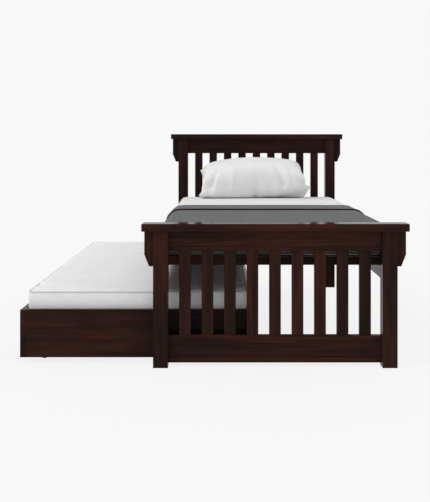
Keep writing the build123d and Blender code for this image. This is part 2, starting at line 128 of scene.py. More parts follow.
# Strips along a rail's lower and upper edges, marked off by its grooves: their widths, and how much lighter
# they are than the rest; the top rail's lower strip is darker partly as its own board's tone and partly as
# painted shade of a strip set back under the rail
STRIP_WIDTHS = {"footboard_top_rail": (0.020, 0.0), "footboard_bottom_rail": (0.024, 0.020)}
STRIP_TONES_AND_SHADE = {"footboard_top_rail": (-0.13, 0.0), "footboard_bottom_rail": (0.17, 0.06)}
# How much lighter the right end of a rail is than its middle
TONE_SLOPES = {"footboard_top_rail": 0.0, "footboard_bottom_rail": 0.08}
# Boards cut from another place in the grain
GRAIN_SEEDS = {"footboard_bottom_rail": 112}

# Fabric colours, linear
TICKING = (0.88, 0.88, 0.88)
SHEET_WHITE = (0.81, 0.81, 0.81)
PILLOW_WHITE = (0.86, 0.86, 0.86)
BLANKET_GREY = (0.137, 0.137, 0.135)
# The piping's grey is partly its own colour and partly painted shade of the seam's crease
PIPING_GREY_AND_SHADE = (0.67, 0.67, 0.67)

# Cloth
WAVE_PITCH = 0.314  # from band to band of a wave texture at scale 1
CLOTH_SHADES = (0.93, 1.05)  # its darkest and lightest, as shares of its colour
CLOTH_ROUGH = 0.92
CLOTH_SPECULAR = 0.15
CLOTH_BUMP = 0.0012

# Mattresses
GRID_STEP = 0.026
EDGE_STEPS = (0.0, 0.004, 0.009, 0.016, 0.026, 0.042)  # closer points near an edge
SEAM_DEPTH = 0.0030  # from a face to the piping
PIPING_RADIUS = 0.0035
BED_CORNER = 0.050
BED_EDGE = 0.040  # rounding of its edges under the blanket
BED_EDGE_FALL = 0.016  # how much smaller that is near the head
BED_EDGE_RUN = 0.5  # and how far past the middle it gets there
BED_SWELL = 0.009
BED_SWELL_LOW = 0.497  # its sides swell above this height, over the side rails
BED_CAPS = (0.0015, 0.003, 0.001)  # the most its cover blows up below that height, above it and on top
TRUNDLE_CORNER = 0.018
TRUNDLE_EDGE = 0.010
TRUNDLE_SWELL = 0.005
TRUNDLE_SWELL_LOW = 0.236
TRUNDLE_CAPS = (0.0012, 0.0012, 0.006)

# Blanket
BLANKET_THICK = 0.0045
BLANKET_HEAD = 0.020  # where it is folded back
BLANKET_BAND = 0.305  # width of the band that is folded back
BLANKET_HEM = 0.5005  # height of its hem along the sides
BLANKET_FOOT_HEM_AS_SHADE = 0.4675  # and at the foot, where it hangs behind the slats, lower than at the sides as painted shade: its dark grey covers the mattress's foot end, which lies in shade there
BLANKET_CLEAR = 0.0008
FOOT_EASE = 0.04  # how far from its corners the foot hem comes down
BLANKET_WAVES = (0.0011, 0.0005)  # heights of its slow and fine waves
HANG_WAVES = 2.2  # how much higher they are where it hangs
HANG_FLARE = 0.004  # how far its hem stands off
HANG_ROWS = 9
TURN_STEPS = 7
BAND_ROWS = 22
BAND_CURL = (0.045, 0.0042)  # how wide and how high the edge of the band lifts

# Pillow
PILLOW_CUT = (0.745, 0.470)
PILLOW_THICK = 0.263
PILLOW_FULL = 0.68  # under 1, the form is fuller towards its seams, though not at its corners
PILLOW_TILT = 16.0
PILLOW_ROLL = 1.0  # its right end lies a little higher
PILLOW_PRESS = (0.030, 0.014)  # how far it presses into the mattress and the headboard
PILLOW_SOFT = 0.010  # how gently it bends where it is pressed
SEAM_SOFT = 0.004  # and where its front seam comes down
PILLOW_LEAN = 0.028  # how far its right end leans in at the top
PILLOW_SAG = 0.046  # how far its front seam sags
PILLOW_TUCK = 0.110  # how far its underside is tucked in below the front seam at the right
PILLOW_SLUMP = 0.048  # how far its filling bulges forward, above the middle
PILLOW_DROOP = (0.080, 0.040)  # how far the corner at the back right falls in and down
PILLOW_LIFT = 0.026  # how far the right end of its front seam lifts off the mattress
PILLOW_SQUEEZE = 0.68  # its depth, squeezed against the headboard, as a share of its depth lying free
PILLOW_SPREAD = 1.012  # and how much wider that makes it
PILLOW_GRID = (88, 52)
PILLOW_START = (0.004, 0.030)  # how far apart its two cuts start, beside the seam and in the middle
PILLOW_PUCKER = 0.004
PILLOW_CLEAR = 0.002  # above the mattress
PILLOW_EASE = 30  # rounds of smoothing
FOLD_WIDTH = 0.017
# Folds of the pillow: where each starts and ends, as shares of its half width and half depth, and its rise
PILLOW_FOLDS = (
    ((-0.98, -0.78), (-0.70, -0.86), -0.055),
    ((-0.80, -1.0), (-0.60, -0.30), -0.022),
    ((-0.42, -1.0), (-0.33, -0.20), 0.011),
    ((0.52, -1.0), (0.34, -0.15), -0.032),
    ((0.64, -1.0), (0.50, -0.20), 0.014),
    ((0.98, -0.70), (0.74, -0.84), -0.055),
)

nodes = frame["nodes"]
scene = bpy.context.scene


def new_material(name):
    material = bpy.data.materials.new(name)
    material.use_nodes = True
    tree = material.node_tree
    return material, tree, tree.nodes["Principled BSDF"]


def add_node(tree, kind, **settings):
    node = tree.nodes.new("ShaderNode" + kind)
    for key, value in settings.items():
        setattr(node, key, value)
    return node


def set_inputs(node, **values):
    for key, value in values.items():
        node.inputs[key.replace("_", " ")].default_value = value
    return node


def mapped(tree, scale, shift):
    """The piece's own coordinates, in metres, scaled and shifted."""
    coords = add_node(tree, "TexCoord")
    mapping = add_node(tree, "Mapping")
    mapping.inputs["Scale"].default_value = scale
    mapping.inputs["Location"].default_value = shift
    tree.links.new(coords.outputs["Object"], mapping.inputs["Vector"])
    return mapping.outputs["Vector"]


def noise_of(tree, vector, scale, detail=2.0, rough=0.5):
    node = add_node(tree, "TexNoise")
    set_inputs(node, Scale=scale, Detail=detail, Roughness=rough)
    tree.links.new(vector, node.inputs["Vector"])
    return node.outputs["Fac"]


def math_of(tree, operation, first, second):
    node = add_node(tree, "Math", operation=operation)
    for socket, value in zip(node.inputs, (first, second)):
        if isinstance(value, (int, float)):
            socket.default_value = value
        else:
            tree.links.new(value, socket)
    return node.outputs["Value"]


def ramp_of(tree, factor, stops):
    node = add_node(tree, "ValToRGB")
    ramp = node.color_ramp
    while len(ramp.elements) < len(stops):
        ramp.elements.new(0.5)
    for element, (place, colour) in zip(ramp.elements, stops):
        element.position = place
        element.color = (*colour, 1.0)
    tree.links.new(factor, node.inputs["Fac"])
    return node.outputs["Color"]


def bump_of(tree, bsdf, height, strength, distance):
    node = add_node(tree, "Bump")
    set_inputs(node, Strength=strength, Distance=distance)
    tree.links.new(height, node.inputs["Height"])
    tree.links.new(node.outputs["Normal"], bsdf.inputs["Normal"])


def along(grain, stretch):
    """Scale of the three axes, drawn out along the grain."""
    return tuple(stretch if axis == grain else 1.0 for axis in "XYZ")


def strip_tone_and_shade(tree, value, node):
    """The value with the tones of the strips along a rail's lower and upper edges added, the top rail's
    darker strip partly painted shade.
    """
    low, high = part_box(node)
    parts = add_node(tree, "SeparateXYZ")
    tree.links.new(mapped(tree, (1.0, 1.0, 1.0), (0.0, 0.0, 0.0)), parts.inputs["Vector"])
    height = parts.outputs["Z"]
    lower, upper = STRIP_WIDTHS[node]
    in_lower = math_of(tree, "LESS_THAN", height, low[2] + lower)
    in_upper = math_of(tree, "GREATER_THAN", height, high[2] - upper)
    for inside, tone_and_shade in zip((in_lower, in_upper), STRIP_TONES_AND_SHADE[node]):
        value = math_of(tree, "ADD", value, math_of(tree, "MULTIPLY", inside, tone_and_shade))
    across = math_of(tree, "SUBTRACT", parts.outputs["X"], (low[0] + high[0]) / 2)
    slope = 2 * TONE_SLOPES[node] / (high[0] - low[0])
    return math_of(tree, "ADD", value, math_of(tree, "MULTIPLY", across, slope))


def wood(name, node, grain, seed, tone_and_shade, colours, rough):
    """Lacquered wood: flat-sawn figure, dark and red streaks, fine fibres and pores, on a tone that is
    partly painted light and shade.
    """
    material, tree, bsdf = new_material(name)
    draw = random.Random(seed)
    shift = tuple(draw.uniform(-3, 3) for axis in "XYZ")
    patterns = {}
    for label, (stretch, scale, detail, fine) in WOOD_PATTERNS.items():
        patterns[label] = noise_of(tree, mapped(tree, along(grain, stretch), shift), scale, detail, fine)
    figure = math_of(tree, "SINE", math_of(tree, "MULTIPLY", patterns["heart"], FIGURE_RINGS), 0.0)
    value = math_of(tree, "MULTIPLY", figure, FIGURE_PART)
    for label, part in PATTERN_PARTS.items():
        value = math_of(tree, "ADD", value, math_of(tree, "MULTIPLY", patterns[label], part))
    value = math_of(tree, "ADD", value, tone_and_shade + TONE_BASE)
    # The top rail's lower strip gets painted shade here, together with its board's own tone
    if node in STRIP_TONES_AND_SHADE:
        value = strip_tone_and_shade(tree, value, node)
    tree.links.new(ramp_of(tree, value, list(zip(TONE_STOPS, colours))), bsdf.inputs["Base Color"])
    fibres = patterns["fibres"]
    surface = math_of(tree, "ADD", math_of(tree, "MULTIPLY", fibres, FIBRE_ROUGH), rough - FIBRE_ROUGH / 2)
    tree.links.new(surface, bsdf.inputs["Roughness"])
    bsdf.inputs["IOR"].default_value = LACQUER_IOR
    bump_of(tree, bsdf, fibres, *FIBRE_BUMP)
    return material


def woven(name, colour, thread, strength, wrinkle, nap):
    """Plain woven cloth: crossing threads, a little uneven in colour, with a soft nap."""
    material, tree, bsdf = new_material(name)
    coords = mapped(tree, (1.0, 1.0, 1.0), (0.0, 0.0, 0.0))
    threads = []
    for axis in "XYZ":
        wave = add_node(tree, "TexWave", wave_type="BANDS", bands_direction=axis)
        set_inputs(wave, Scale=WAVE_PITCH / thread, Distortion=1.2, Detail=1.0, Detail_Scale=2.0)
        tree.links.new(coords, wave.inputs["Vector"])
        threads.append(wave.outputs["Fac"])
    weave = math_of(tree, "ADD", math_of(tree, "ADD", threads[0], threads[1]), threads[2])
    uneven = noise_of(tree, coords, 9.0, 4.0, 0.6)
    creased = math_of(tree, "MULTIPLY", uneven, wrinkle)
    height = math_of(tree, "ADD", math_of(tree, "MULTIPLY", weave, 0.33), creased)
    low, high = (tuple(min(1.0, c * shade) for c in colour) for shade in CLOTH_SHADES)
    blotches = math_of(tree, "MULTIPLY", uneven, 0.7)
    mixed = math_of(tree, "ADD", blotches, math_of(tree, "MULTIPLY", weave, 0.1))
    tree.links.new(ramp_of(tree, mixed, [(0.25, low), (0.75, high)]), bsdf.inputs["Base Color"])
    bsdf.inputs["Roughness"].default_value = CLOTH_ROUGH
    bsdf.inputs["Specular IOR Level"].default_value = CLOTH_SPECULAR
    bsdf.inputs["Sheen Weight"].default_value = nap
    bump_of(tree, bsdf, height, strength, CLOTH_BUMP)
    return material


def metal(name, colour, rough):
    material, tree, bsdf = new_material(name)
    grain = noise_of(tree, mapped(tree, (1.0, 1.0, 1.0), (0.0, 0.0, 0.0)), 160.0, 3.0, 0.6)
    low = tuple(c * 0.85 for c in colour)
    tree.links.new(ramp_of(tree, grain, [(0.3, low), (0.7, colour)]), bsdf.inputs["Base Color"])
    spread = math_of(tree, "ADD", math_of(tree, "MULTIPLY", grain, 0.15), rough - 0.07)
    tree.links.new(spread, bsdf.inputs["Roughness"])
    bsdf.inputs["Metallic"].default_value = 1.0
    bump_of(tree, bsdf, grain, 0.05, 0.0003)
    return material


def plastic(name, colour, rough):
    material, tree, bsdf = new_material(name)
    grain = noise_of(tree, mapped(tree, (1.0, 1.0, 1.0), (0.0, 0.0, 0.0)), 300.0, 3.0, 0.6)
    low = tuple(c * 0.8 for c in colour)
    tree.links.new(ramp_of(tree, grain, [(0.3, low), (0.7, colour)]), bsdf.inputs["Base Color"])
    spread = math_of(tree, "ADD", math_of(tree, "MULTIPLY", grain, 0.2), rough - 0.1)
    tree.links.new(spread, bsdf.inputs["Roughness"])
    bump_of(tree, bsdf, grain, 0.08, 0.0003)
    return material


def grain_of(node):
    """The way the grain runs: along a board's longest side."""
    low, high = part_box(node)
    size = high - low
    return "XYZ"[max(range(3), key=lambda i: size[i])]


def dress_solids():
    """Every solid that stays gets its finish, each visible board its own piece of wood."""
    walnut = (WALNUT_DARK, WALNUT_MID, WALNUT_LIGHT)
    deck = (DECK_DARK, DECK_MID, DECK_LIGHT)
    steel = metal("zinc_steel", STEEL_GREY, 0.38)
    black = plastic("black_plastic", WHEEL_BLACK, 0.5)
    shades = random.Random(11)
    slots = {row["node"]: row["material_slot"] for row in frame["record"]["subparts"]}
    for seed, name in enumerate(sorted(nodes)):
        piece = nodes[name]
        slot = slots[name]
        known = [start for start in BOARD_TONES_AND_SHADE if name.startswith(start)]
        # The board's tone carries painted shade and light: the headboard darker and the footboard lighter
        # as the light falls off towards the head
        tone_and_shade = shades.uniform(-TONE_SPREAD, TONE_SPREAD) + BOARD_TONES_AND_SHADE.get(max(known, key=len, default=""), 0.0)
        grain = "X" if "deck_slats" in name else grain_of(name)
        seed = GRAIN_SEEDS.get(name, seed)
        if slot == "walnut":
            finish = wood("walnut_" + name, name, grain, seed, tone_and_shade, walnut, LACQUER_ROUGH)
        elif slot == "deck_wood":
            finish = wood("deck_" + name, name, grain, seed, tone_and_shade, deck, DECK_ROUGH)
        elif slot == "steel":
            finish = steel
        elif slot == "wheel_plastic":
            finish = black
        else:
            continue
        piece.data.materials.clear()
        piece.data.materials.append(finish)
        if slot in ("walnut", "deck_wood"):
            soften = piece.modifiers.new("eased_edges", "BEVEL")
            soften.width = EDGE_EASE
            soften.segments = 2
            soften.limit_method = "ANGLE"
            soften.angle_limit = math.radians(40)


def link_mesh(name, verts, faces):
    mesh = bpy.data.meshes.new(name)
    mesh.from_pydata([tuple(v) for v in verts], [], faces)
    mesh.update()
    piece = bpy.data.objects.new(name, mesh)
    scene.collection.objects.link(piece)
    return piece


def place_camera():
    data = bpy.data.cameras.new("camera")
    data.lens = CAMERA_LENS
    data.sensor_width = CAMERA_SENSOR
    data.shift_x, data.shift_y = CAMERA_SHIFT
    camera = bpy.data.objects.new("camera", data)
    camera.location = CAMERA_PLACE
    camera.rotation_euler = (math.pi / 2, 0.0, 0.0)
    scene.collection.objects.link(camera)
    scene.camera = camera


def key_lamp(name, strength, swing, rise):
    """A broad, soft lamp far off to one side."""
    data = bpy.data.lights.new(name, "SUN")
    data.energy = strength * math.pi
    data.angle = math.radians(KEY_SPREAD)
    lamp = bpy.data.objects.new(name, data)
    swing, rise = math.radians(swing), math.radians(rise)
    away = Vector((math.sin(swing) * math.cos(rise), -math.cos(swing) * math.cos(rise), math.sin(rise)))
    lamp.rotation_euler = (-away).to_track_quat("-Z", "Y").to_euler()
    scene.collection.objects.link(lamp)


def seen_rays(tree):
    """1 for rays that the backdrop shows itself to, 0 for the light that falls on the object."""
    path = add_node(tree, "LightPath")
    seen = math_of(tree, "MAXIMUM", path.outputs["Is Camera Ray"], path.outputs["Is Transmission Ray"])
    return math_of(tree, "MAXIMUM", seen, path.outputs["Is Glossy Ray"])


def mix_shaders(tree, factor, first, second):
    mix = add_node(tree, "MixShader")
    tree.links.new(factor, mix.inputs["Fac"])
    tree.links.new(first, mix.inputs[1])
    tree.links.new(second, mix.inputs[2])
    return mix.outputs["Shader"]


def emission(tree, strength):
    node = add_node(tree, "Emission")
    node.inputs["Strength"].default_value = strength
    node.inputs["Color"].default_value = (1.0, 1.0, 1.0, 1.0)
    return node.outputs["Emission"]


def diffuse(tree, grey):
    node = add_node(tree, "BsdfDiffuse")
    node.inputs["Color"].default_value = (grey, grey, grey, 1.0)
    return node.outputs["BSDF"]


def build_stage():
    """A pale floor that runs out into plain white, with the object's soft shadow kept near it."""
    half = FLOOR_SIZE / 2
    corners = [(-half, -half, 0), (half, -half, 0), (half, half, 0), (-half, half, 0)]
    floor = link_mesh("floor", corners, [(0, 1, 2, 3)])
    material, tree, bsdf = new_material("pale_floor")
    tree.nodes.remove(bsdf)
    both = add_node(tree, "AddShader")
    tree.links.new(emission(tree, FLOOR_GLOW), both.inputs[0])
    tree.links.new(diffuse(tree, FLOOR_SHADE), both.inputs[1])
    reach = add_node(tree, "VectorMath", operation="LENGTH")
    tree.links.new(mapped(tree, (1.0, 1.0, 1.0), (0.0, 0.0, 0.0)), reach.inputs[0])
    away = add_node(tree, "MapRange", interpolation_type="SMOOTHSTEP")
    away.inputs["From Min"].default_value = FLOOR_NEAR
    away.inputs["From Max"].default_value = FLOOR_FAR
    tree.links.new(reach.outputs["Value"], away.inputs["Value"])
    pale = mix_shaders(tree, away.outputs["Result"], both.outputs["Shader"], emission(tree, BACKGROUND))
    surface = mix_shaders(tree, seen_rays(tree), diffuse(tree, FLOOR_BOUNCE), pale)
    tree.links.new(surface, tree.nodes["Material Output"].inputs["Surface"])
    floor.data.materials.append(material)


def build_light():
    """Two broad key lamps in front, left and right, under a soft sky."""
    world = bpy.data.worlds.new("studio")
    world.use_nodes = True
    scene.world = world
    tree = world.node_tree
    tree.nodes.clear()
    way = add_node(tree, "TexCoord")
    parts = add_node(tree, "SeparateXYZ")
    tree.links.new(way.outputs["Generated"], parts.inputs["Vector"])
    sky = add_node(tree, "MapRange")
    set_inputs(sky, From_Min=SKY_TURN[0], From_Max=SKY_TURN[1], To_Min=SKY_FRONT, To_Max=SKY_REST)
    tree.links.new(parts.outputs["Y"], sky.inputs["Value"])
    lit = add_node(tree, "Background")
    lit.inputs["Color"].default_value = (1.0, 1.0, 1.0, 1.0)
    tree.links.new(sky.outputs["Result"], lit.inputs["Strength"])
    white = add_node(tree, "Background")
    white.inputs["Color"].default_value = (BACKGROUND, BACKGROUND, BACKGROUND, 1.0)
    surface = mix_shaders(tree, seen_rays(tree), lit.outputs["Background"], white.outputs["Background"])
    output = tree.nodes.new("ShaderNodeOutputWorld")
    tree.links.new(surface, output.inputs["Surface"])
    key_lamp("key_left", *KEY_LEFT)
    key_lamp("key_right", *KEY_RIGHT)


# Soft pieces


def graded(length):
    """Places from 0 to length, closer together near both ends."""
    near = np.array(EDGE_STEPS)
    count = max(2, round((length - 2 * near[-1]) / GRID_STEP))
    middle = np.linspace(near[-1], length - near[-1], count + 1)
    return np.concatenate([near[:-1], middle, length - near[-2::-1]])


class Slab:
    """A mattress's outer form: a box with rounded corners and edges, and sides that swell above a line."""

    def __init__(self, node, corner, edge, swell, swell_low):
        low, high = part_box(node)
        self.corner = corner
        self.middle = [(low[i] + high[i]) / 2 for i in range(2)]
        self.half = [(high[i] - low[i]) / 2 for i in range(2)]
        self.top = high[2]
        self.height = high[2] - low[2]
        self.edge = edge
        self.swell = swell
        self.swell_low = swell_low

    def place(self, x, y, depth, grow=0.0):
        """The point and outward normal at x, y from the middle and a depth below the top face."""
        signs = (math.copysign(1, x), math.copysign(1, y))
        past = [abs(x) - self.half[0] + self.corner, abs(y) - self.half[1] + self.corner]
        if past[0] > 0 and past[1] > 0:
            reach = max(past)
            pull = reach / math.hypot(*past)
            past = [past[0] * pull, past[1] * pull]
            out = Vector((signs[0] * past[0] / reach, signs[1] * past[1] / reach, 0))
        elif past[0] > past[1]:
            reach = past[0]
            out = Vector((signs[0], 0, 0))
        else:
            reach = past[1]
            out = Vector((0, signs[1], 0))
        flat = [signs[i] * (past[i] + self.half[i] - self.corner) for i in range(2)]
        inset = self.corner - reach
        radius = self.edge(y)
        upper = depth <= self.height / 2
        from_face = depth if upper else self.height - depth
        up = Vector((0, 0, 1 if upper else -1))
        across = max(radius - inset, 0.0)
        along = max(radius - from_face, 0.0)
        length = math.hypot(across, along)
        normal = (out * across + up * along) / length if length > 0 else up
        if across > 0 and along > 0:
            shift = radius / length
        else:
            shift = 1.0
        point = Vector((self.middle[0] + flat[0], self.middle[1] + flat[1], 0))
        point += out * (across * shift - across)
        fall = radius - along * shift if along > 0 else from_face
        point.z = self.top - fall if upper else self.top - self.height + fall
        rise = (point.z - self.swell_low) / (self.top - self.swell_low)
        if 0 < rise < 1:
            point += out * self.swell * math.sin(math.pi * rise) ** 1.5 * max(normal.dot(out), 0)
        return point + normal * grow, normal


def box_faces(nx, ny, nz):
    """Point numbers and faces of a grid over the surface of a box."""
    index = {}
    for i in range(nx + 1):
        for j in range(ny + 1):
            for k in range(nz + 1):
                if i in (0, nx) or j in (0, ny) or k in (0, nz):
                    index[i, j, k] = len(index)
    faces = []

    def quad(*keys):
        faces.append(tuple(index[key] for key in keys))

    for i in range(nx):
        for j in range(ny):
            quad((i, j, nz), (i + 1, j, nz), (i + 1, j + 1, nz), (i, j + 1, nz))
            quad((i, j, 0), (i, j + 1, 0), (i + 1, j + 1, 0), (i + 1, j, 0))
    for k in range(nz):
        for i in range(nx):
            quad((i, 0, k), (i + 1, 0, k), (i + 1, 0, k + 1), (i, 0, k + 1))
            quad((i, ny, k), (i, ny, k + 1), (i + 1, ny, k + 1), (i + 1, ny, k))
        for j in range(ny):
            quad((0, j, k), (0, j, k + 1), (0, j + 1, k + 1), (0, j + 1, k))
            quad((nx, j, k), (nx, j + 1, k), (nx, j + 1, k + 1), (nx, j, k + 1))
    return index, faces


def points_of(piece):
    flat = np.empty(len(piece.data.vertices) * 3)
    piece.data.vertices.foreach_get("co", flat)
    return flat.reshape(-1, 3)


def set_points(piece, points):
    piece.data.vertices.foreach_set("co", np.asarray(points, dtype=float).ravel())
    piece.data.update()


def normals_of(piece):
    flat = np.empty(len(piece.data.vertices) * 3)
    piece.data.vertex_normals.foreach_get("vector", flat)
    return flat.reshape(-1, 3)


def inflate(piece, frames, pressure, pinned, slack, bending):
    """Where the cloth of a closed piece goes when it is blown up, its pinned points held."""
    start = points_of(piece)
    group = piece.vertex_groups.new(name="pinned")
    group.add(pinned, 1.0, "REPLACE")
    cloth = piece.modifiers.new("inflate", "CLOTH")
    settings = cloth.settings
    settings.quality = 6
    settings.mass = 0.2
    settings.tension_stiffness = 20.0
    settings.compression_stiffness = 20.0
    settings.shear_stiffness = 6.0
    settings.bending_stiffness = bending
    settings.use_pressure = True
    settings.uniform_pressure_force = pressure
    settings.shrink_min = -slack
    settings.vertex_group_mass = "pinned"
    settings.effector_weights.gravity = 0.0
    cloth.collision_settings.use_collision = False
    cloth.point_cache.frame_start = 1
    cloth.point_cache.frame_end = frames
    for step in range(1, frames + 1):
        scene.frame_set(step)
    graph = bpy.context.evaluated_depsgraph_get()
    blown = bpy.data.meshes.new_from_object(piece.evaluated_get(graph))
    flat = np.empty(len(blown.vertices) * 3)
    blown.vertices.foreach_get("co", flat)
    bpy.data.meshes.remove(blown)
    piece.modifiers.remove(cloth)
    piece.vertex_groups.clear()
    scene.frame_set(1)
    return flat.reshape(-1, 3)


def bake_modifiers(piece):
    """The piece's mesh becomes what its modifiers make of it."""
    graph = bpy.context.evaluated_depsgraph_get()
    baked = bpy.data.meshes.new_from_object(piece.evaluated_get(graph))
    baked.name = piece.name
    piece.modifiers.clear()
    piece.data = baked


def refine(piece, levels=1):
    smooth = piece.modifiers.new("smooth", "SUBSURF")
    smooth.levels = levels
    smooth.render_levels = levels
    bake_modifiers(piece)
    piece.data.shade_smooth()


def finish_piece(piece, body, finish):
    piece.data.materials.clear()
    piece.data.materials.append(finish)
    piece.data.shade_smooth()
    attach(piece, body)


def tube_loop(name, path, radius, sides=8):
    """A closed tube along a loop of points that lies nearly level."""
    count = len(path)
    verts = []
    faces = []
    for n in range(count):
        ahead = (path[(n + 1) % count] - path[n - 1]).normalized()
        side = ahead.cross(Vector((0, 0, 1))).normalized()
        up = side.cross(ahead)
        for m in range(sides):
            turn = 2 * math.pi * m / sides
            verts.append(path[n] + (side * math.cos(turn) + up * math.sin(turn)) * radius)
    for n in range(count):
        for m in range(sides):
            a = n * sides + m
            b = n * sides + (m + 1) % sides
            c = (n + 1) % count * sides + (m + 1) % sides
            d = (n + 1) % count * sides + m
            faces.append((a, b, c, d))
    return link_mesh(name, verts, faces)


def rim_keys(nx, ny, k):
    """Grid places round a box at one height, in order."""
    keys = [(i, 0, k) for i in range(nx)]
    keys += [(nx, j, k) for j in range(ny)]
    keys += [(i, ny, k) for i in range(nx, 0, -1)]
    keys += [(0, j, k) for j in range(ny, 0, -1)]
    return keys


def build_mattress(name, node, body, slab, caps, finish):
    """A ticking cover blown up between its piped seams, with the piping round its edges."""
    xs = graded(2 * slab.half[0]) - slab.half[0]
    ys = graded(2 * slab.half[1]) - slab.half[1]
    middle = np.linspace(SEAM_DEPTH, slab.height - SEAM_DEPTH, 6)
    depths = [slab.height, slab.height - SEAM_DEPTH / 2, *middle[::-1], SEAM_DEPTH / 2, 0.0]
    nx, ny, nz = len(xs) - 1, len(ys) - 1, len(depths) - 1
    index, faces = box_faces(nx, ny, nz)
    verts = []
    for i, j, k in index:
        point, normal = slab.place(xs[i], ys[j], depths[k])
        verts.append(point)
    cover = link_mesh(name, verts, faces)
    seams = (2, nz - 2)
    pinned = [number for key, number in index.items() if key[2] in seams or key[2] == 0]
    start = points_of(cover)
    moved = inflate(cover, frames=12, pressure=3.0, pinned=pinned, slack=0.05, bending=1.0) - start
    length = np.linalg.norm(moved, axis=1, keepdims=True)
    cap = np.where(start[:, 2:] < slab.swell_low, caps[0], caps[1])
    cap = np.where(start[:, 2:] > slab.top - SEAM_DEPTH, caps[2], cap)
    moved *= np.minimum(1.0, cap / np.maximum(length, 1e-9))
    set_points(cover, start + moved)
    rims = {}
    for label, k in (("bottom", seams[0]), ("top", seams[1])):
        rims[label] = [cover.data.vertices[index[key]].co.copy() for key in rim_keys(nx, ny, k)]
    refine(cover)
    finish_piece(cover, body, finish)
    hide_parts(node)
    for label, rim in rims.items():
        piping = tube_loop(f"{name}_piping_{label}", rim, PIPING_RADIUS)
        finish_piece(piping, body, piping_cloth)
    return cover


def wrinkle(x, y):
    """Height of the blanket's soft waves over the mattress."""
    slow = noise.noise(Vector((x * 3.0, y * 2.2, 1.7)))
    fine = noise.noise(Vector((x * 9.0, y * 6.0, 4.1)))
    return BLANKET_WAVES[0] * (slow + 1) + BLANKET_WAVES[1] * (fine + 1)


def push_clear(point, tree, room):
    """The point moved out of a surface until it stands that far off it."""
    near, normal, number, distance = tree.find_nearest(point)
    gap = (point - near).dot(normal)
    if gap < room:
        point = point + normal * (room - gap)
    return point


def build_blanket(slab, cover):
    """A blanket over the lower half of the bed, hanging at its sides and foot, its head end folded back."""
    covered = [tuple(face.vertices) for face in cover.data.polygons]
    tree = BVHTree.FromPolygons([vertex.co for vertex in cover.data.vertices], covered)
    mid = BLANKET_CLEAR + BLANKET_THICK / 2
    drop = slab.top - BLANKET_HEM
    foot_shade_drop = slab.top - BLANKET_FOOT_HEM_AS_SHADE
    falls = np.linspace(drop, 0.0, HANG_ROWS + 1)[:-1]
    xs = graded(2 * slab.half[0]) - slab.half[0]
    spots = [(xs[0], fall) for fall in falls]
    spots += [(x, 0.0) for x in xs]
    spots += [(xs[-1], fall) for fall in falls[::-1]]

    def base(x, y, fall):
        point, normal = slab.place(x, y, fall, mid)
        lift = wrinkle(point.x, point.y) * (1 if fall == 0 else HANG_WAVES)
        if fall > 0:
            lift += HANG_FLARE * (fall / drop) * (1 + noise.noise(Vector((x * 2, y * 7.0, 9.0))))
        return push_clear(point + normal * lift, tree, mid), normal

    foot = -slab.half[1]
    head = BLANKET_HEAD - slab.middle[1]
    lower = foot + graded(head - foot)
    rows = [[base(x, y, fall)[0] for x, fall in spots] for y in lower]
    turn = BLANKET_THICK / 2 + BLANKET_CLEAR / 2
    ends = [base(x, head, fall) for x, fall in spots]
    for step in range(1, TURN_STEPS):
        angle = math.pi * step / TURN_STEPS
        ahead = Vector((0, turn * math.sin(angle), 0))
        rows.append([point + ahead + normal * turn * (1 - math.cos(angle)) for point, normal in ends])
    edge = head - BLANKET_BAND
    for y in np.linspace(head, edge, BAND_ROWS):
        lift = max(0.0, 1 - (y - edge) / BAND_CURL[0]) ** 2 * BAND_CURL[1]
        row = []
        for x, fall in spots:
            point, normal = base(x, y, fall)
            row.append(point + normal * (2 * turn + lift))
        rows.append(row)

    across = len(spots)
    verts = [point for row in rows for point in row]
    faces = []
    for r in range(len(rows) - 1):
        for c in range(across - 1):
            a = r * across + c
            faces.append((a, a + 1, a + 1 + across, a + across))
    first = len(falls)
    above = [first + n for n in range(len(xs))]
    # Rows of the foot hem: it comes down lower than at the sides, its dark grey a painted shade over the
    # mattress's foot end
    for k in range(1, len(falls) + 1):
        left = first - k
        right = across - 1 - first + k
        row = [left]
        for x in xs[1:-1]:
            row.append(len(verts))
            inward = min(1.0, (slab.half[0] - abs(x)) / FOOT_EASE)
            reach = 1 + (foot_shade_drop / drop - 1) * inward * inward * (3 - 2 * inward)
            verts.append(base(x, foot, falls[-k] * reach)[0])
        row.append(right)
        for c in range(len(xs) - 1):
            faces.append((above[c + 1], above[c], row[c], row[c + 1]))
        above = row
    blanket = link_mesh("folded_blanket", verts, faces)
    body = blanket.modifiers.new("thickness", "SOLIDIFY")
    body.thickness = BLANKET_THICK
    body.offset = 0.0
    refine(blanket)
    finish_piece(blanket, "bed", blanket_wool)
    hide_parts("blanket")


def fold_share(spots, start, end):
    """The share of a fold's rise at each flat spot: 1 where it starts, fading across it and to its end."""
    half = np.array(PILLOW_CUT) / 2
    first, last = np.array(start) * half, np.array(end) * half
    run = last - first
    way = np.clip((spots - first) @ run / (run @ run), 0, 1)
    off = np.linalg.norm(spots - first - way[:, None] * run, axis=1)
    return np.exp(-(off / FOLD_WIDTH) ** 2) * (1 - way ** 2)


def eased(piece, points, share, rounds):
    """The points drawn towards the middle of their neighbours, each by its share."""
    edges = np.array([edge.vertices for edge in piece.data.edges])
    count = np.bincount(edges.ravel(), minlength=len(points))
    for step in range(rounds):
        total = np.zeros_like(points)
        np.add.at(total, edges[:, 0], points[edges[:, 1]])
        np.add.at(total, edges[:, 1], points[edges[:, 0]])
        points = points + share[:, None] * (total / count[:, None] - points)
    return points


def between(values, start, end):
    """0 up to the start, 1 past the end, and an even rise between them."""
    return np.clip((values - start) / (end - start), 0, 1)


